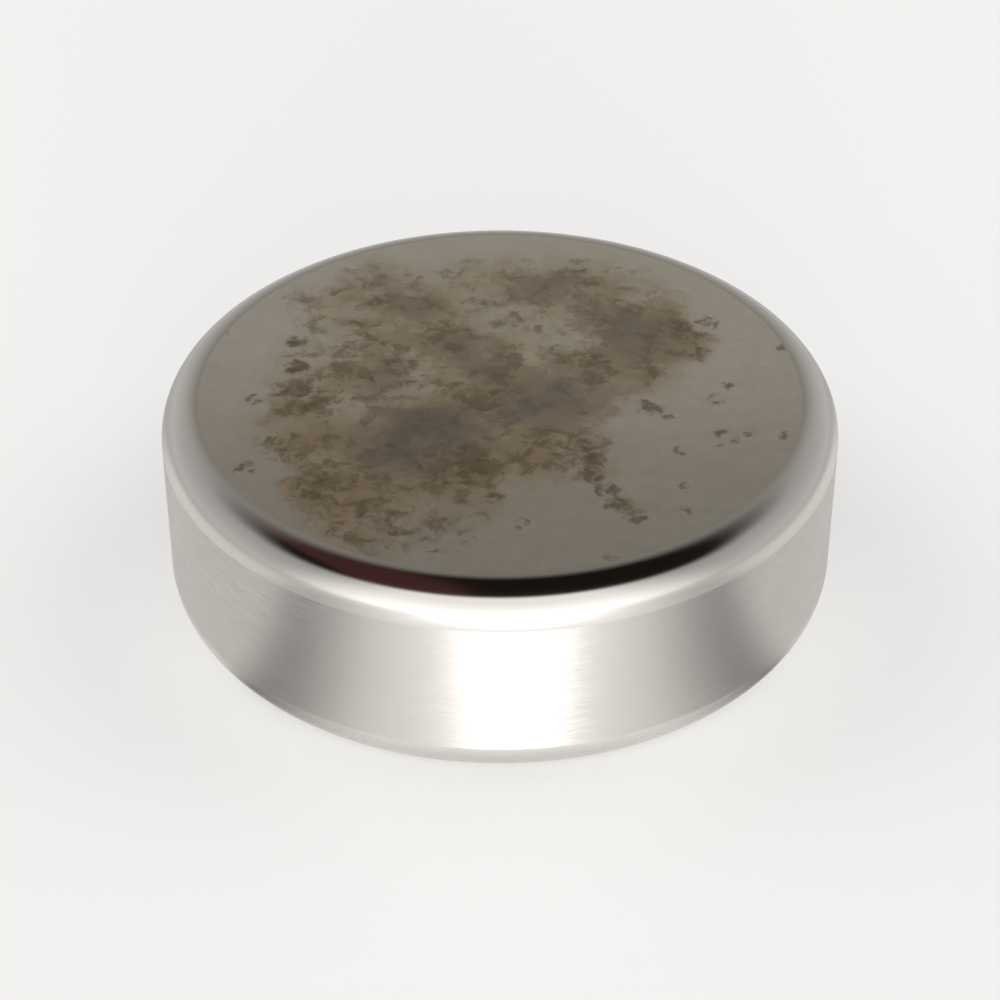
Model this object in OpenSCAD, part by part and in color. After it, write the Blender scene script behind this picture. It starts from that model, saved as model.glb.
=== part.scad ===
// Disc magnet: one plain round of sintered magnet alloy.
// It is cut from a ground bar and its two faces are ground flat. Tumbling then rounds both edges,
// and a thin bright plating covers it all over, so that it is a single closed solid.
// It lies on one flat face. The origin is the middle of that face, and +Z runs along the axis of the
// disc, which is also the way that it is magnetised: each flat face is a pole.

/* [Disc] */
// Diameter across the ground rim
disc_d = 25; // [12:0.5:60]
// Thickness between the two flat faces
disc_t = 8; // [4:0.5:30]

/* [Edges] */
// Radius that tumbling leaves on both edges
edge_r = 1.4; // [0.2:0.1:1.8]

/* [Hidden] */
$fn = 180;
disc_r = disc_d / 2;
face_r = disc_r - edge_r;
rim_h = disc_t - 2 * edge_r;

// One half of the cross-section, from the axis to the rim. The flat faces run out to face_r, and the
// two quarter rounds lead from there into the straight rim.
module half_section() {
    square([face_r, disc_t]);
    translate([0, edge_r])
        square([disc_r, rim_h]);
    for (z = [edge_r, edge_r + rim_h])
        translate([face_r, z])
            circle(r = edge_r);
}

// The whole magnet, which is the half section turned about its axis
module disc_magnet() {
    color("silver")
        rotate_extrude()
            half_section();
}

disc_magnet();
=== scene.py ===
# %% [markdown]
# # A disc magnet
#
# The object is one plated disc, 25 mm across and 8 mm thick. It is a very plain shape, so nearly all of
# its character is in the metal: a rim that was ground, edges that were tumbled until they shone, and a
# satin face that has tarnished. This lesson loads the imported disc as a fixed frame, models the same disc
# again with a smooth mesh, and then spends its time on light and on finishes.

import math
from math import radians

import bmesh
import bpy
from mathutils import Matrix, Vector


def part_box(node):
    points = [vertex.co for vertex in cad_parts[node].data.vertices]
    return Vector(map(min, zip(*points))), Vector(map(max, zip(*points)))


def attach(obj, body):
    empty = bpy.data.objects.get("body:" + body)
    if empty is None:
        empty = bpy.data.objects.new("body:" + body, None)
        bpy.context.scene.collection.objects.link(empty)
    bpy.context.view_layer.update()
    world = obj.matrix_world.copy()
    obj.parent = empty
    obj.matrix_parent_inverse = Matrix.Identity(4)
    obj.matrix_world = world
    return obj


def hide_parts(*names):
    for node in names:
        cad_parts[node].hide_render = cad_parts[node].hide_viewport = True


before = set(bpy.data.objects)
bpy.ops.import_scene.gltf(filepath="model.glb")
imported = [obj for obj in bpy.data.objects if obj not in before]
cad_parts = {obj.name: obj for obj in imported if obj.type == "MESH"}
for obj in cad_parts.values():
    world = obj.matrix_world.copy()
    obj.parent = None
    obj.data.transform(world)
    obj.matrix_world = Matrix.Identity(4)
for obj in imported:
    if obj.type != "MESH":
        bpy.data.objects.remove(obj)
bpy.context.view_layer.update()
low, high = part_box("disc_magnet")
print("the packed disc spans", [round(1000 * (b - a), 3) for a, b in zip(low, high)], "mm")

# %% [markdown]
# ## Units and driving sizes
#
# Blender works in metres here, and a magnet is thought of in millimetres, so one named value turns one
# into the other. The diameter and thickness are read from the frame and never typed again. The edge
# radius is the one size that a box can't tell, so it is written down.

# %% Driving sizes
MM = 0.001
disc_r = (high.x - low.x) / 2
disc_t = high.z - low.z
edge_r = 1.4 * MM
face_r = disc_r - edge_r
print("radius", round(disc_r / MM, 3), "mm, thickness", round(disc_t / MM, 3), "mm")

# %% [markdown]
# ## The camera
#
# The photograph's line of sight makes 56 degrees with the disc's axis, which is an elevation of 34
# degrees over a disc that lies flat. It was taken from close by, only about eight radii away, and that
# is why the near edge looks so much larger than the far one. The same angle and distance are kept here.
# A longer lens then fills the frame without changing that perspective.

# %% Place the camera
VIEW_ELEVATION = radians(33.8)
VIEW_DISTANCE = 97.3 * MM
LENS_MM = 95
AIM_NEARER = 0.6 * MM
AIM_HEIGHT = 0.42 * disc_t
face_centre = Vector((0, 0, disc_t))
aim = Vector((0, -AIM_NEARER, AIM_HEIGHT))
sight = Vector((0, -math.cos(VIEW_ELEVATION), math.sin(VIEW_ELEVATION)))

camera = bpy.data.objects.new("camera", bpy.data.cameras.new("camera"))
bpy.context.scene.collection.objects.link(camera)
camera.data.lens = LENS_MM
camera.data.clip_start = 5 * MM
camera.location = face_centre + sight * VIEW_DISTANCE
camera.rotation_mode = "QUATERNION"
camera.rotation_quaternion = (aim - camera.location).to_track_quat("-Z", "Y")
bpy.context.scene.camera = camera
bpy.context.scene.view_settings.view_transform = "Standard"
print("the camera is", round((camera.location - aim).length / MM, 1), "mm from what it looks at")

# %% [markdown]
# ## Small helpers for nodes and colours
#
# Every material below is a handful of nodes. One function turns a hex colour, as a painter would note
# it, into the linear numbers that light is added up in. Another adds any node with its settings, joins
# its inputs and gives back an output, so that a material reads from top to bottom. Two named sets of
# options save typing: a Map Range that eases in and out, and a Mix of two colours.
#
# Most inputs go by number. A Map Range takes its value in 0 and carries the range from 1 to 2 over to
# the range from 3 to 4, or to 0 to 1 where these are left out. A Mix takes its share in 0, and blends 2
# with 3 for numbers or 6 with 7 for colours.

# %% Helpers for materials
SMOOTH = {"interpolation_type": "SMOOTHSTEP"}
COLOUR = {"data_type": "RGBA", "out": 2}


def linear(hex_colour):
    """The linear RGBA of an sRGB hex colour."""
    channels = [int(hex_colour[i : i + 2], 16) / 255 for i in (0, 2, 4)]
    return [c / 12.92 if c <= 0.04045 else ((c + 0.055) / 1.055) ** 2.4 for c in channels] + [1.0]


def add_node(tree, kind, inputs=None, out=0, **options):
    """Adds a node, sets or links its inputs, and gives back one output, or the node if out is None."""
    made = tree.nodes.new("ShaderNode" + kind)
    for name, value in options.items():
        setattr(made, name, value)
    for name, value in (inputs or {}).items():
        if isinstance(value, bpy.types.NodeSocket):
            tree.links.new(value, made.inputs[name])
        else:
            made.inputs[name].default_value = value
    return made if out is None else made.outputs[out]


def new_tree(name):
    """An empty node material, and its tree."""
    made = bpy.data.materials.new(name)
    made.use_nodes = True
    made.node_tree.nodes.clear()
    return made, made.node_tree


print("helpers ready:", linear.__name__, add_node.__name__, new_tree.__name__)

# %% [markdown]
# ## The studio floor
#
# The disc lies on a sheet of matt white paper. It catches the soft shadow that seats the disc, and it is
# also what the upright rim mirrors. The camera and mirror rays see it partly as plain white, which lifts
# the background without putting more light on the disc. For mirror rays it is darker to the left and
# right, as black cards beside the set would make it, and that draws the two grey flanks on the rim. It
# is darker for them behind the disc as well, and even under the disc, where all bearings meet. Bearings
# are counted both ways from the camera's side.

# %% Shade the paper for mirror rays
PAPER = "EDECEA"
PLAIN_WHITE = 0.4
UNDER_DISC = 0.8
NEAR = 24 * MM
FAR = 60 * MM
CARDS_OFF = radians(3)
CARD_FROM, CARD_TO = radians(23), radians(53)
CARD_SHADE = 0.26
PAST_FROM, PAST_TO = radians(50), radians(63)
PAST_LIFT = 0.70
REAR_FROM, REAR_TO = radians(105), radians(130)
REAR_DROP = -0.42
SIDE_FROM, SIDE_TO = radians(25), radians(60)
SIDE_SHADE = 0.62
FOOT_GAP = 0.5 * MM

paper, tree = new_tree("matt_white_paper")
place = add_node(tree, "TexCoord", out="Object")
right, back, _ = add_node(tree, "SeparateXYZ", {0: place}, out=None).outputs
front = add_node(tree, "Math", {0: back, 1: -1.0}, operation="MULTIPLY")
turn = add_node(tree, "Math", {0: right, 1: front}, operation="ARCTAN2")
turn = add_node(tree, "Math", {0: turn, 1: CARDS_OFF}, operation="SUBTRACT")
turn = add_node(tree, "Math", {0: turn}, operation="ABSOLUTE")
card = add_node(tree, "MapRange", {0: turn, 1: CARD_FROM, 2: CARD_TO, 3: 1.0, 4: CARD_SHADE}, **SMOOTH)
past_card = add_node(tree, "MapRange", {0: turn, 1: PAST_FROM, 2: PAST_TO, 3: 0.0, 4: PAST_LIFT}, **SMOOTH)
rear = add_node(tree, "MapRange", {0: turn, 1: REAR_FROM, 2: REAR_TO, 3: 0.0, 4: REAR_DROP}, **SMOOTH)
near_paper = add_node(tree, "Math", {0: card, 1: past_card}, operation="ADD")
near_paper = add_node(tree, "Math", {0: near_paper, 1: rear}, operation="ADD")
far_paper = add_node(tree, "MapRange", {0: turn, 1: SIDE_FROM, 2: SIDE_TO, 3: 1.0, 4: SIDE_SHADE}, **SMOOTH)
distance = add_node(tree, "VectorMath", {0: place}, operation="LENGTH", out="Value")
far = add_node(tree, "MapRange", {0: distance, 1: NEAR, 2: FAR}, **SMOOTH)
in_mirror = add_node(tree, "Mix", {0: far, 2: near_paper, 3: far_paper})
clear = add_node(tree, "MapRange", {0: distance, 1: face_r, 2: disc_r + FOOT_GAP}, **SMOOTH)
in_mirror = add_node(tree, "Mix", {0: clear, 2: UNDER_DISC, 3: in_mirror})
rays = add_node(tree, "LightPath", out=None).outputs
shade = add_node(tree, "Mix", {0: rays["Is Glossy Ray"], 2: 1.0, 3: in_mirror})
print("the paper has", len(tree.nodes), "nodes so far")

# %% Lay the paper
FLOOR_SIZE = 2.4
paper_colour = add_node(tree, "VectorMath", {0: linear(PAPER)[:3], 3: shade}, operation="SCALE")
white = add_node(tree, "VectorMath", {0: (1.0, 1.0, 1.0), 3: shade}, operation="SCALE")
surface = {"Base Color": paper_colour, "Roughness": 0.9, "Specular IOR Level": 0.2}
lit_paper = add_node(tree, "BsdfPrincipled", surface)
plain_white = add_node(tree, "Emission", {"Color": white, "Strength": 1.0})
from_camera = rays["Is Camera Ray"]
looked_at = add_node(tree, "Math", {0: from_camera, 1: rays["Is Glossy Ray"]}, operation="MAXIMUM")
share = add_node(tree, "Math", {0: looked_at, 1: PLAIN_WHITE}, operation="MULTIPLY")
paper_surface = add_node(tree, "MixShader", {0: share, 1: lit_paper, 2: plain_white})
add_node(tree, "OutputMaterial", {"Surface": paper_surface}, out=None)

bpy.ops.object.select_all(action="DESELECT")
bpy.ops.mesh.primitive_plane_add(size=FLOOR_SIZE, location=(0, 0, 0))
floor = bpy.context.active_object
floor.name = "paper"
floor.data.materials.append(paper)
print("laid", floor.name, "with", paper.name)

# %% [markdown]
# ## The studio light
#
# Polished metal is mostly a picture of its room. The room here has pale walls and a dark ceiling, and
# the ceiling is what draws the dark line along the tumbled edge. Walls and ceiling are painted on the
# world by direction: right, back and up are the three parts of the way that a ray looks. The front
# wall is the brightest, and all walls fade towards their top.

# %% Paint the walls on the world
FRONT_WALL = 1.8
SIDE_WALL = 0.62
BACK_WALL = 0.45
WALL_TOP = 0.62
WALL_TOP_AT = 0.71
WALL_COLOUR = (1.0, 0.99, 0.975)
FRONT_ENDS, SIDE_STARTS = radians(30), radians(75)
SIDE_ENDS, BACK_STARTS = radians(140), radians(165)

world = bpy.data.worlds.new("studio")
bpy.context.scene.world = world
world.use_nodes = True
tree = world.node_tree
tree.nodes.clear()
look = add_node(tree, "TexCoord", out="Generated")
right, back, up = add_node(tree, "SeparateXYZ", {0: look}, out=None).outputs
front = add_node(tree, "Math", {0: back, 1: -1.0}, operation="MULTIPLY")
turn = add_node(tree, "Math", {0: right, 1: front}, operation="ARCTAN2")
turn = add_node(tree, "Math", {0: turn}, operation="ABSOLUTE")
to_side = {0: turn, 1: FRONT_ENDS, 2: SIDE_STARTS, 3: FRONT_WALL, 4: SIDE_WALL}
wall = add_node(tree, "MapRange", to_side, **SMOOTH)
fading = add_node(tree, "MapRange", {0: up, 1: 0.0, 2: WALL_TOP_AT, 3: 1.0, 4: WALL_TOP})
wall = add_node(tree, "Math", {0: wall, 1: fading}, operation="MULTIPLY")
behind = add_node(tree, "MapRange", {0: turn, 1: SIDE_ENDS, 2: BACK_STARTS}, **SMOOTH)
wall = add_node(tree, "Mix", {0: behind, 2: wall, 3: BACK_WALL})
walls = add_node(tree, "VectorMath", {0: WALL_COLOUR, 3: wall}, operation="SCALE")
print("walls: front", FRONT_WALL, "side", SIDE_WALL, "back", BACK_WALL)

# %% [markdown]
# The ceiling is an oval round the point overhead. Its near end stops quite sharply, where the dark line
# on the edge meets the bright rim, and its far end fades out slowly, where the line fades into the face.
# Both fades are given as shares of the oval's size, where they start and where they end. A brown beam
# crosses the left part, and gives the line its reddish stretch.

# %% Hang the dark ceiling
CEILING_CENTRE = radians(90)
CEILING_FRONT = radians(31)
CEILING_BACK = radians(38)
CEILING_WIDE = radians(51)
NIGHT = (0.010, 0.008, 0.006, 1.0)
BEAM = (0.060, 0.024, 0.021, 1.0)
BEAM_RIGHT, CORE_RIGHT = -0.06, -0.16
BEAM_LEFT, CORE_LEFT = -0.58, -0.46
SHARP_TO, SOFT_FROM = radians(95), radians(125)
SHARP_FADE = (0.76, 1.08)
SOFT_FADE = (0.68, 1.37)

overhead = add_node(tree, "Math", {0: up, 1: front}, operation="ARCTAN2")
along = add_node(tree, "Math", {0: overhead, 1: CEILING_CENTRE}, operation="SUBTRACT")
to_front = add_node(tree, "Math", {0: along, 1: -CEILING_FRONT}, operation="DIVIDE")
to_back = add_node(tree, "Math", {0: along, 1: CEILING_BACK}, operation="DIVIDE")
along = add_node(tree, "Math", {0: to_front, 1: to_back}, operation="MAXIMUM")
across = add_node(tree, "Math", {0: right}, operation="ARCSINE")
across = add_node(tree, "Math", {0: across, 1: CEILING_WIDE}, operation="DIVIDE")
oval = add_node(tree, "CombineXYZ", {0: along, 1: across})
from_centre = add_node(tree, "VectorMath", {0: oval}, operation="LENGTH", out="Value")
softness = add_node(tree, "MapRange", {0: overhead, 1: SHARP_TO, 2: SOFT_FROM}, **SMOOTH)
fade_start = add_node(tree, "Mix", {0: softness, 2: SHARP_FADE[0], 3: SOFT_FADE[0]})
fade_end = add_node(tree, "Mix", {0: softness, 2: SHARP_FADE[1], 3: SOFT_FADE[1]})
out_of_it = add_node(tree, "MapRange", {0: from_centre, 1: fade_start, 2: fade_end}, **SMOOTH)
beam_right = add_node(tree, "MapRange", {0: right, 1: BEAM_RIGHT, 2: CORE_RIGHT}, **SMOOTH)
beam_left = add_node(tree, "MapRange", {0: right, 1: BEAM_LEFT, 2: CORE_LEFT}, **SMOOTH)
beam = add_node(tree, "Math", {0: beam_right, 1: beam_left}, operation="MULTIPLY")
ceiling = add_node(tree, "Mix", {0: beam, 6: NIGHT, 7: BEAM}, **COLOUR)
room = add_node(tree, "Mix", {0: out_of_it, 6: ceiling, 7: walls}, **COLOUR)
background = add_node(tree, "Background", {"Color": room, "Strength": 1.0})
add_node(tree, "OutputWorld", {"Surface": background}, out=None)
print("the room has", len(tree.nodes), "nodes")

# %% [markdown]
# ## The softboxes
#
# Three softboxes add what the room lacks. A long low one in front is the white band down the middle of
# the rim. The two at the sides light the paper, and mirror rays pass them by, so that they draw no band
# of their own.

# %% Hang the softboxes


def softbox(name, azimuth, elevation, distance, width, height, radiance):
    """A rectangular lamp that faces the disc. Azimuth is in degrees to the right of the camera."""
    lamp = bpy.data.lights.new(name, "AREA")
    lamp.shape = "RECTANGLE"
    lamp.size = width
    lamp.size_y = height
    lamp.energy = radiance * math.pi * width * height
    made = bpy.data.objects.new(name, lamp)
    bpy.context.scene.collection.objects.link(made)
    a = radians(azimuth)
    e = radians(elevation)
    out = Vector((math.sin(a) * math.cos(e), -math.cos(a) * math.cos(e), math.sin(e)))
    made.location = aim + out * distance
    made.rotation_mode = "QUATERNION"
    made.rotation_quaternion = (-out).to_track_quat("-Z", "Y")
    made.visible_camera = False
    return made


softbox("front_strip", azimuth=4, elevation=5, distance=0.50, width=0.26, height=0.08, radiance=27.0)
for side, label in ((-1, "left_softbox"), (1, "right_softbox")):
    side_box = softbox(
        label, azimuth=side * 112, elevation=40, distance=0.90, width=0.80, height=0.70, radiance=2.0
    )
    side_box.visible_glossy = False

# %% [markdown]
# ## Turning the blank
#
# A real magnet starts as a plain cylinder. So does this one: a cylinder primitive whose two rims are
# bevelled into quarter rounds. Many narrow segments keep the long reflections on the rim free of facets.

# %% Add the cylinder
SEGMENTS = 384
TINY = 1e-6
bpy.ops.object.select_all(action="DESELECT")
bpy.ops.mesh.primitive_cylinder_add(
    vertices=SEGMENTS, radius=disc_r, depth=disc_t, end_fill_type="NGON", location=(0, 0, disc_t / 2)
)
magnet = bpy.context.active_object
magnet.name = "magnet_body"
bpy.ops.object.transform_apply(location=True, rotation=True, scale=True)
print("the cylinder has", len(magnet.data.polygons), "faces")

# %% Round both edges
ARC_STEPS = 16
bpy.ops.object.mode_set(mode="EDIT")
bpy.ops.mesh.select_mode(type="EDGE")
bpy.ops.mesh.select_all(action="DESELECT")
shape = bmesh.from_edit_mesh(magnet.data)
for edge in shape.edges:
    edge.select_set(abs(edge.verts[0].co.z - edge.verts[1].co.z) < TINY)
bmesh.update_edit_mesh(magnet.data)
print("rounding", sum(edge.select for edge in shape.edges), "edges")
bpy.ops.mesh.bevel(offset=edge_r, segments=ARC_STEPS, profile=0.5, affect="EDGES")

# %% Hold both faces flat with two narrow rings
FACE_RING = 0.25 * MM
bpy.ops.mesh.select_mode(type="FACE")
bpy.ops.mesh.select_all(action="DESELECT")
shape = bmesh.from_edit_mesh(magnet.data)
for face in shape.faces:
    face.select_set(len(face.verts) == SEGMENTS)
bmesh.update_edit_mesh(magnet.data)
bpy.ops.mesh.inset(thickness=FACE_RING)
bpy.ops.mesh.inset(thickness=FACE_RING)
bpy.ops.mesh.poke()
bpy.ops.object.mode_set(mode="OBJECT")
bpy.ops.object.shade_smooth()
print("the blank has", len(magnet.data.polygons), "faces")

# %% [markdown]
# ## Ground rim: nickel plating over centreless-ground magnet alloy
#
# A centreless grinder spins the slug against its wheel, so every scratch on the rim runs round it, and
# the thin plating follows them. The eye sees two things: the highlight is drawn out along the axis, which
# anisotropy does, and short fine dashes run round the rim. Real scratches are a few hundredths of a
# millimetre wide, too fine to show here, so the dashes are drawn coarser.

# %% Ground rim
NICKEL = "DBD8D3"
GROUND_SMOOTH = 0.38
GROUND_ROUGH = 0.48
DASH_LONG = 0.9 * MM
DASH_THICK = 0.07 * MM
DASH_DEEP = 0.0055 * MM
DASH_LOW, DASH_HIGH = 0.35, 0.65
DRAWN_OUT = 0.85
QUARTER_TURN = 0.25

ground, tree = new_tree("ground_nickel_plating")
place = add_node(tree, "TexCoord", out="Object")
finer = (1 / DASH_LONG, 1 / DASH_LONG, 1 / DASH_THICK)
stretched = add_node(tree, "Mapping", {"Vector": place, "Scale": finer})
dashes = add_node(tree, "TexNoise", {"Vector": stretched, "Scale": 1.0, "Detail": 2.0})
dash_bump = add_node(tree, "Bump", {"Height": dashes, "Strength": 1.0, "Distance": DASH_DEEP})
dash_rough = {0: dashes, 1: DASH_LOW, 2: DASH_HIGH, 3: GROUND_SMOOTH, 4: GROUND_ROUGH}
dash_rough = add_node(tree, "MapRange", dash_rough)
surface = {
    "Base Color": linear(NICKEL),
    "Metallic": 1.0,
    "Roughness": dash_rough,
    "Anisotropic": DRAWN_OUT,
    "Anisotropic Rotation": QUARTER_TURN,
    "Normal": dash_bump,
}
ground_surface = add_node(tree, "BsdfPrincipled", surface)
add_node(tree, "OutputMaterial", {"Surface": ground_surface}, out=None)
print(ground.name, "has", len(tree.nodes), "nodes")

# %% [markdown]
# ## Bright edges: nickel plating over barrel-tumbled magnet alloy
#
# Tumbling in a barrel of small stones rounds the edges and burnishes them, so they mirror the room
# almost sharply. The burnish fades into the grinding on one side and into the satin face on the other,
# and there its colour turns into the face's, or a pale line would ring the face.

# %% Tumbled edges
SATIN_ROUGH = 0.34
BURNISHED = 0.12
RIM_ROUGH = 0.44
NEAR_SATIN = "BCB5A8"
RIM_FADE = 0.6 * edge_r
FACE_FADE = 0.3 * edge_r
COLOUR_FADE = 0.4 * edge_r

tumbled, tree = new_tree("tumbled_nickel_plating")
place = add_node(tree, "TexCoord", out="Object")
right, back, up = add_node(tree, "SeparateXYZ", {0: place}, out=None).outputs
off_middle = add_node(tree, "Math", {0: up, 1: disc_t / 2}, operation="SUBTRACT")
off_middle = add_node(tree, "Math", {0: off_middle}, operation="ABSOLUTE")
rim_end = disc_t / 2 - edge_r
near_rim = {0: off_middle, 1: rim_end, 2: rim_end + RIM_FADE, 3: RIM_ROUGH, 4: BURNISHED}
near_rim = add_node(tree, "MapRange", near_rim, **SMOOTH)
flat_place = add_node(tree, "CombineXYZ", {0: right, 1: back})
off_axis = add_node(tree, "VectorMath", {0: flat_place}, operation="LENGTH", out="Value")
near_face = {0: off_axis, 1: face_r, 2: face_r + FACE_FADE, 3: SATIN_ROUGH, 4: BURNISHED}
near_face = add_node(tree, "MapRange", near_face, **SMOOTH)
burnish = add_node(tree, "Math", {0: near_rim, 1: near_face}, operation="MAXIMUM")
off_face = add_node(tree, "MapRange", {0: off_axis, 1: face_r, 2: face_r + COLOUR_FADE}, **SMOOTH)
shine = add_node(tree, "Mix", {0: off_face, 6: linear(NEAR_SATIN), 7: linear(NICKEL)}, **COLOUR)
surface = {"Base Color": shine, "Metallic": 1.0, "Roughness": burnish}
tumbled_surface = add_node(tree, "BsdfPrincipled", surface)
add_node(tree, "OutputMaterial", {"Surface": tumbled_surface}, out=None)
print(tumbled.name, "has", len(tree.nodes), "nodes")

# %% [markdown]
# ## Satin faces: nickel plating over surface-ground magnet alloy
#
# Both flat faces are satin and a little warmer than the rim: the plating lies over a fine even grinding,
# so the eye gets a soft sheen and no clear reflection. The lower face is clean and needs nothing more.

# %% Satin back face
SATIN = "CEC7B9"
satin, tree = new_tree("satin_nickel_plating")
surface = {"Base Color": linear(SATIN), "Metallic": 1.0, "Roughness": SATIN_ROUGH}
satin_surface = add_node(tree, "BsdfPrincipled", surface)
add_node(tree, "OutputMaterial", {"Surface": satin_surface}, out=None)
print(satin.name, "has", len(tree.nodes), "nodes")

# %% [markdown]
# ## Tarnish on the upper face
#
# Where the plating is thin or pinholed, damp gets at it. First a yellow film forms, then brown patches,
# then dark grey cores, with small brown flecks that scatter out from them. All of it is skin deep, so it
# dulls the metal and dents nothing. The patches are listed as (x, y, radius, strength) in millimetres,
# x to the right and y away from the camera. Noise then frays them, so that no round shape is left. The
# bare metal and the film are also painted darker towards the near side of the face, as painted shade.

# %% Where the tarnish lies
BODY = [
    (-4.5, 5.5, 3.8, 0.70),
    (-0.8, 7.0, 3.0, 0.60),
    (3.0, 6.6, 3.6, 0.70),
    (5.6, 4.0, 3.0, 0.85),
    (-1.0, 3.0, 4.2, 0.75),
    (4.2, 1.5, 2.8, 0.80),
    (-5.6, 1.2, 3.2, 0.70),
    (0.5, -0.5, 3.8, 0.90),
    (-6.0, -2.5, 3.4, 0.80),
    (-2.5, -3.5, 4.4, 1.00),
    (1.5, -3.5, 2.8, 0.75),
    (-5.0, -6.3, 3.2, 0.75),
    (-2.0, -6.5, 3.0, 0.60),
    (-4.5, -8.6, 2.6, 0.45),
    (3.2, -5.0, 1.3, 0.35),
    (4.2, -7.2, 1.0, 0.25),
]
DARK = [
    (-7.6, 6.0, 1.0, 0.50),
    (-3.4, 5.8, 1.8, 0.60),
    (4.5, 6.2, 1.5, 0.40),
    (1.6, 7.0, 1.9, 0.60),
    (5.0, 3.7, 2.4, 0.75),
    (5.2, 1.9, 1.4, 0.70),
    (3.0, 1.8, 1.4, 0.65),
    (-2.0, 2.8, 1.5, 0.60),
    (0.0, 0.5, 2.0, 0.70),
    (-4.0, 1.0, 2.0, 0.75),
    (-7.4, -0.8, 1.3, 0.60),
    (-0.3, -0.8, 1.8, 0.75),
    (2.0, -1.0, 2.4, 0.90),
    (-2.0, -2.8, 2.8, 0.90),
    (-4.0, -4.2, 2.2, 0.90),
    (-1.0, -4.4, 1.9, 0.80),
    (-2.8, -5.3, 1.9, 0.85),
    (-5.3, -6.2, 1.8, 0.80),
    (-6.8, -3.8, 1.6, 0.60),
    (1.25, -3.9, 1.1, 0.70),
]
GREY = [
    (-3.75, 6.2, 1.3, 0.90),
    (1.4, 6.7, 2.2, 0.80),
    (3.0, 5.2, 1.4, 0.60),
    (4.5, 3.5, 2.2, 0.90),
    (-0.6, 2.0, 1.8, 0.60),
    (2.1, -0.8, 2.3, 0.90),
    (-2.0, 2.8, 1.3, 0.60),
    (-4.0, 1.0, 1.5, 0.60),
    (-2.2, -2.6, 2.4, 1.00),
    (-3.6, -3.6, 2.0, 0.80),
]
BARE = [
    (0.5, 4.7, 1.4, 0.80),
    (1.5, 3.2, 1.2, 0.70),
    (-6.9, 2.6, 2.0, 0.80),
    (-7.0, 4.7, 1.3, 0.60),
    (-3.6, 2.2, 0.9, 0.50),
    (-2.9, -0.5, 1.2, 0.70),
    (-5.6, -1.2, 1.1, 0.60),
    (-0.6, -2.4, 0.8, 0.40),
    (2.2, -4.6, 0.9, 0.60),
    (-1.6, 8.2, 1.2, 0.50),
]
print(len(BODY + DARK + GREY + BARE), "patches")

# %% Where the flecks lie
FLECKS = [
    (-7.6, 6.2, 1.30, 0.80),
    (-3.9, 6.4, 1.80, 0.65),
    (1.2, 6.8, 2.00, 0.55),
    (5.2, 6.4, 1.80, 0.60),
    (6.9, 3.9, 1.50, 0.95),
    (7.7, 2.5, 0.90, 0.95),
    (3.2, 1.9, 1.60, 0.80),
    (-0.3, 2.2, 2.00, 0.50),
    (-3.8, 0.8, 2.20, 0.80),
    (-7.1, -0.5, 1.90, 1.00),
    (-0.3, -0.6, 1.80, 0.75),
    (2.0, -1.0, 1.80, 0.60),
    (-7.4, -3.7, 1.60, 0.95),
    (-3.0, -3.2, 2.40, 0.65),
    (-1.4, -4.8, 2.80, 0.95),
    (1.6, -4.1, 1.50, 0.90),
    (-6.0, -6.0, 2.20, 1.00),
    (-4.6, -8.0, 2.80, 0.88),
    (-2.0, -8.8, 2.20, 0.80),
    (2.8, -3.6, 0.90, 1.15),
    (3.3, -4.6, 0.80, 1.15),
    (3.2, -5.5, 0.75, 1.25),
    (3.7, -6.4, 0.75, 1.20),
    (4.1, -7.2, 0.75, 1.25),
    (4.7, -7.9, 0.55, 1.20),
    (-7.7, 3.2, 0.60, 1.13),
    (-7.5, 1.5, 0.70, 1.33),
    (-9.0, -0.75, 0.50, 1.08),
    (-9.0, -5.0, 0.60, 1.18),
    (-10.6, 3.75, 0.50, 1.13),
    (7.9, 4.6, 0.70, 1.13),
    (9.75, 2.75, 0.45, 1.13),
    (10.6, 2.75, 0.40, 1.08),
    (8.4, 0.2, 0.50, 1.03),
    (5.5, -1.2, 0.80, 1.23),
    (6.2, -1.9, 0.50, 1.13),
    (7.9, -0.7, 0.60, 1.08),
    (8.0, -3.1, 0.80, 1.13),
    (9.0, -2.75, 0.45, 1.08),
    (10.2, -3.0, 0.40, 1.08),
    (6.4, -4.0, 0.50, 1.18),
    (6.4, -6.1, 0.45, 1.13),
    (6.4, -7.6, 0.40, 1.08),
    (0.7, -8.3, 0.50, 1.23),
    (-0.2, -6.8, 0.60, 1.08),
    (3.75, -10.2, 0.40, 1.08),
]
print(len(FLECKS), "clusters of flecks")

# %% [markdown]
# Two small tools turn the lists into masks. One pushes the coordinates about, so that whatever is drawn
# on them frays. The other draws a whole list as one mask. The large patches are frayed twice, finely and
# then coarsely.

# %% Tools for frayed patches
NOISE_MIDDLE = 0.5
PATCH_OUTER, PATCH_INNER = 1.3, 0.3

tarnished, tree = new_tree("tarnished_nickel_plating")
place = add_node(tree, "TexCoord", out="Object")
in_mm = add_node(tree, "VectorMath", {0: place, 3: 1 / MM}, operation="SCALE")


def fray(tree, where, feature_mm, reach_mm):
    """Pushes the coordinates about by noise, in the plane of the face only."""
    push = add_node(tree, "TexNoise", {"Vector": where, "Scale": 1 / feature_mm, "Detail": 3.0}, out="Color")
    push = add_node(tree, "VectorMath", {0: push, 1: (NOISE_MIDDLE,) * 3}, operation="SUBTRACT")
    reach = (reach_mm, reach_mm, 0.0)
    return add_node(tree, "VectorMath", {0: push, 1: reach, 2: where}, operation="MULTIPLY_ADD")


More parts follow.
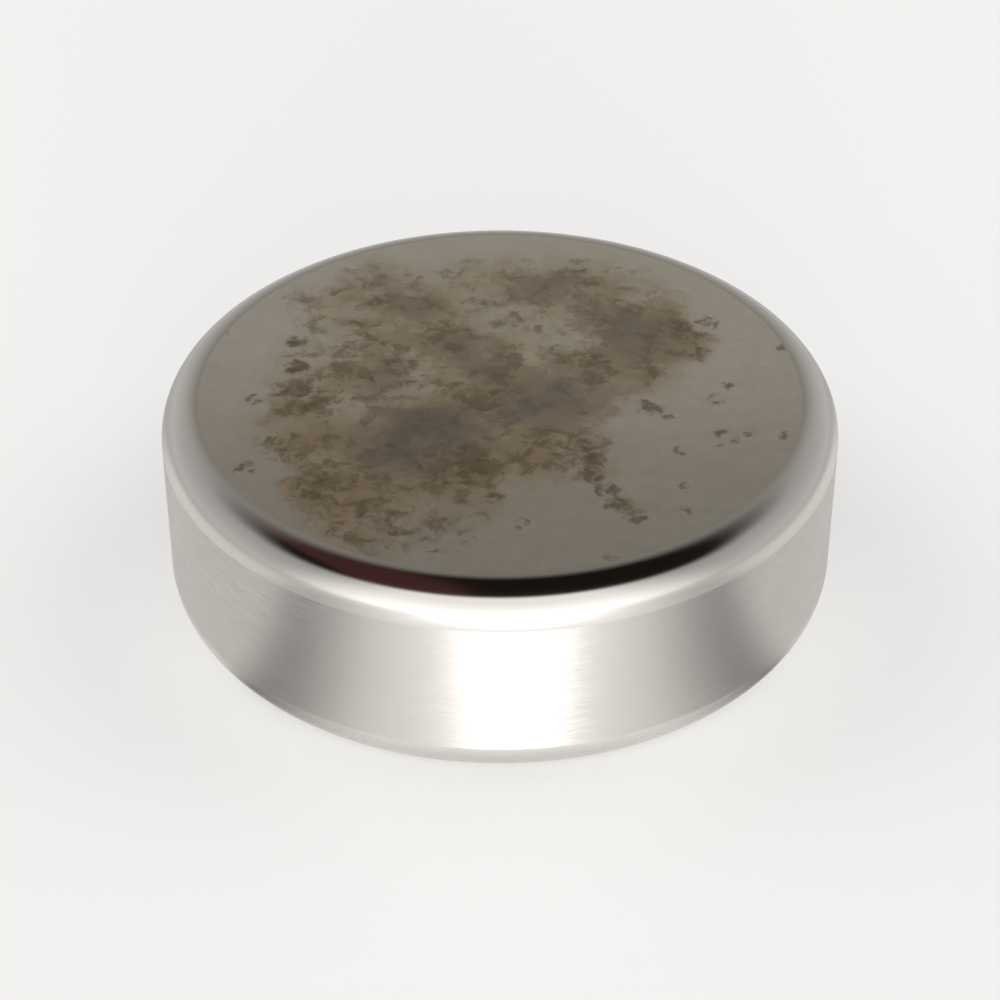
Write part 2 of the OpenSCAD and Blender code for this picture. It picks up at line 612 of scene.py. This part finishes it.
def patches(tree, where, places):
    """One mask of many soft round patches. Where they overlap, the strongest wins."""
    mask = 0.0
    for x, y, radius, strength in places:
        centre = (x, y, disc_t / MM)
        away = add_node(tree, "VectorMath", {0: where, 1: centre}, operation="DISTANCE", out="Value")
        soft_edge = {0: away, 1: PATCH_OUTER * radius, 2: PATCH_INNER * radius, 3: 0.0, 4: strength}
        patch = add_node(tree, "MapRange", soft_edge, **SMOOTH)
        mask = add_node(tree, "Math", {0: mask, 1: patch}, operation="MAXIMUM")
    return mask


ragged = fray(tree, in_mm, feature_mm=0.7, reach_mm=1.0)
frayed = fray(tree, ragged, feature_mm=2.4, reach_mm=3.0)
body = patches(tree, frayed, BODY)
print("the tarnish starts from", len(tree.nodes), "nodes")

# %% [markdown]
# The lists say where the attack is, and noise makes it uneven. Together they give one value, how deep the
# attack goes. The yellow film covers all of the body, brown comes with some depth, deep brown with more,
# and grey only where its own list has it.

# %% Clouds and mottling
CLOUD_MM = 2.0
MOTTLE_MM = 0.6
MOTTLE_SHARE = 1.2

clouds = {"Vector": in_mm, "Scale": 1 / CLOUD_MM, "Detail": 4.0, "Roughness": 0.6}
cloudy = add_node(tree, "TexNoise", clouds)
cloudy = add_node(tree, "Math", {0: cloudy, 1: NOISE_MIDDLE}, operation="SUBTRACT")
mottling = {"Vector": ragged, "Scale": 1 / MOTTLE_MM, "Detail": 5.0, "Roughness": 0.7}
mottle = add_node(tree, "TexNoise", mottling)
mottle = add_node(tree, "Math", {0: mottle, 1: NOISE_MIDDLE}, operation="SUBTRACT")
loose = add_node(tree, "Math", {0: mottle, 1: MOTTLE_SHARE, 2: cloudy}, operation="MULTIPLY_ADD")
print("clouds of about", CLOUD_MM, "mm and mottling of about", MOTTLE_MM, "mm")

# %% How deep the attack goes
BODY_DEPTH = 0.44
DARK_DEPTH = 0.32
BARE_DEPTH = -0.38
FULL_BODY = 0.5
FILM_RAGGED = 0.4
FULL_FILM = 0.6
BROWN_FROM, BROWN_TO = 0.12, 0.52
DEEP_FROM, DEEP_TO = 0.50, 1.1
GREY_FROM, GREY_TO = 0.1, 0.8
GREY_SHARE = 0.65

dark = patches(tree, frayed, DARK)
bare = patches(tree, frayed, BARE)
attack = add_node(tree, "Math", {0: body, 1: BODY_DEPTH}, operation="MULTIPLY")
attack = add_node(tree, "Math", {0: dark, 1: DARK_DEPTH, 2: attack}, operation="MULTIPLY_ADD")
attack = add_node(tree, "Math", {0: bare, 1: BARE_DEPTH, 2: attack}, operation="MULTIPLY_ADD")
on_body = add_node(tree, "MapRange", {0: body, 1: 0.0, 2: FULL_BODY}, **SMOOTH)
attack = add_node(tree, "Math", {0: loose, 1: on_body, 2: attack}, operation="MULTIPLY_ADD")
film = add_node(tree, "Math", {0: loose, 1: FILM_RAGGED, 2: body}, operation="MULTIPLY_ADD")
film = add_node(tree, "MapRange", {0: film, 1: 0.0, 2: FULL_FILM}, **SMOOTH)
brown = add_node(tree, "MapRange", {0: attack, 1: BROWN_FROM, 2: BROWN_TO}, **SMOOTH)
deep_brown = add_node(tree, "MapRange", {0: attack, 1: DEEP_FROM, 2: DEEP_TO}, **SMOOTH)
grey = {0: attack, 1: GREY_FROM, 2: GREY_TO, 3: 0.0, 4: GREY_SHARE}
grey = add_node(tree, "MapRange", grey, **SMOOTH)
grey = add_node(tree, "Math", {0: grey, 1: patches(tree, frayed, GREY)}, operation="MULTIPLY")
print("the tarnish has", len(tree.nodes), "nodes")

# %% Scatter the flecks
FLECK_MM = 0.50
FLECK_CROWDING = 0.30
FLECK_FROM, FLECK_TO = 0.73, 0.94
FLECK_SHARE = 0.72

density = patches(tree, fray(tree, in_mm, feature_mm=0.5, reach_mm=0.5), FLECKS)
flecking = {"Vector": ragged, "Scale": 1 / FLECK_MM, "Detail": 3.0, "Roughness": 0.6}
fleck = add_node(tree, "TexNoise", flecking)
fleck = add_node(tree, "Math", {0: density, 1: FLECK_CROWDING, 2: fleck}, operation="MULTIPLY_ADD")
fleck = {0: fleck, 1: FLECK_FROM, 2: FLECK_TO, 3: 0.0, 4: FLECK_SHARE}
fleck = add_node(tree, "MapRange", fleck, **SMOOTH)
print("flecks of about", FLECK_MM, "mm")

# %% Break up the brown with blotches
BLOTCH_MM = 0.85
BLOTCH_CROWDING = 0.20
BLOTCH_FROM, BLOTCH_TO = 0.60, 0.80
BLOTCH_SHARE = 0.70

blotching = {"Vector": ragged, "Scale": 1 / BLOTCH_MM, "Detail": 4.0, "Roughness": 0.65}
blotch = add_node(tree, "TexNoise", blotching)
spread = add_node(tree, "Math", {0: body, 1: density}, operation="MAXIMUM")
blotch = add_node(tree, "Math", {0: spread, 1: BLOTCH_CROWDING, 2: blotch}, operation="MULTIPLY_ADD")
blotch = {0: blotch, 1: BLOTCH_FROM, 2: BLOTCH_TO, 3: 0.0, 4: BLOTCH_SHARE}
blotch = add_node(tree, "MapRange", blotch, **SMOOTH)
blotch = add_node(tree, "Math", {0: blotch, 1: on_body}, operation="MULTIPLY")
print("blotches of about", BLOTCH_MM, "mm")

# %% [markdown]
# First the bare metal and the film are painted darker towards the near side of the face, as painted
# shade. The stain colours then go on in the order that damp makes them, each over the last. The mottling
# then makes them lighter and darker by turns, most of all where the film is, and attacked metal is a
# little rougher.

# %% Colour the upper face
# Painted shade: darker copies of the satin and of the film, and where on the face they take over.
SHADED_SATIN = "B2AB9D"
YELLOW_FILM = "C4B9A2"
SHADED_FILM = "AEA38E"
SHADE_FROM_MM, SHADE_TO_MM = 4.0, -9.0
SHADE_RAGGED_MM = 4.0
SHADE_SHARE = 0.9

# Painted shade: the bare metal and the film grow darker towards the near side of the face.
away = add_node(tree, "SeparateXYZ", {0: in_mm}, out="Y")
near_shade = add_node(tree, "Math", {0: cloudy, 1: SHADE_RAGGED_MM, 2: away}, operation="MULTIPLY_ADD")
near_shade = {0: near_shade, 1: SHADE_FROM_MM, 2: SHADE_TO_MM, 3: 0.0, 4: SHADE_SHARE}
near_shade = add_node(tree, "MapRange", near_shade, **SMOOTH)
clean = add_node(tree, "Mix", {0: near_shade, 6: linear(SATIN), 7: linear(SHADED_SATIN)}, **COLOUR)
yellow = add_node(tree, "Mix", {0: near_shade, 6: linear(YELLOW_FILM), 7: linear(SHADED_FILM)}, **COLOUR)
colour = add_node(tree, "Mix", {0: film, 6: clean, 7: yellow}, **COLOUR)
stains = [
    ("brown patches", brown, "AE9B81"),
    ("deep brown", deep_brown, "8F806B"),
    ("blotches", blotch, "806F56"),
    ("grey cores", grey, "88827A"),
    ("flecks", fleck, "7C6B50"),
]
for stain, mask, stain_colour in stains:
    colour = add_node(tree, "Mix", {0: mask, 6: colour, 7: linear(stain_colour)}, **COLOUR)
    print("laid over the metal:", stain)

# %% Tarnished upper face
GRAIN_BARE, GRAIN_FILM = 0.30, 0.80
TARNISH_ROUGH = SATIN_ROUGH + 0.08

grain = add_node(tree, "MapRange", {0: film, 1: 0.0, 2: 1.0, 3: GRAIN_BARE, 4: GRAIN_FILM})
grain = add_node(tree, "Math", {0: mottle, 1: grain, 2: 1.0}, operation="MULTIPLY_ADD")
colour = add_node(tree, "VectorMath", {0: colour, 3: grain}, operation="SCALE")
worst = add_node(tree, "Math", {0: attack, 1: fleck}, operation="MAXIMUM")
rougher = add_node(tree, "MapRange", {0: worst, 1: 0.0, 2: 1.0, 3: SATIN_ROUGH, 4: TARNISH_ROUGH})
surface = {"Base Color": colour, "Metallic": 1.0, "Roughness": rougher}
tarnished_surface = add_node(tree, "BsdfPrincipled", surface)
add_node(tree, "OutputMaterial", {"Surface": tarnished_surface}, out=None)
print(tarnished.name, "has", len(tree.nodes), "nodes")

# %% [markdown]
# ## Finishes on their faces
#
# The way that a face looks tells which finish it gets: straight out is the rim, straight up or down is a
# flat face, and all between is a tumbled edge.

# %% Give each face its finish
RIM, EDGE, TOP, BOTTOM = range(4)
UPRIGHT = 0.02
LEVEL = 0.9999
for finish in (ground, tumbled, tarnished, satin):
    magnet.data.materials.append(finish)
for face in magnet.data.polygons:
    face.material_index = EDGE
    if abs(face.normal.z) < UPRIGHT:
        face.material_index = RIM
    elif face.normal.z > LEVEL:
        face.material_index = TOP
    elif face.normal.z < -LEVEL:
        face.material_index = BOTTOM
kinds = [face.material_index for face in magnet.data.polygons]
print("rim, edge, top and bottom faces:", [kinds.count(kind) for kind in range(4)])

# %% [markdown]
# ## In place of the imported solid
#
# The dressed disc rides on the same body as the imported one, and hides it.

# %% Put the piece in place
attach(magnet, "root")
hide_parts("disc_magnet")
print(magnet.name, "takes the place of disc_magnet")
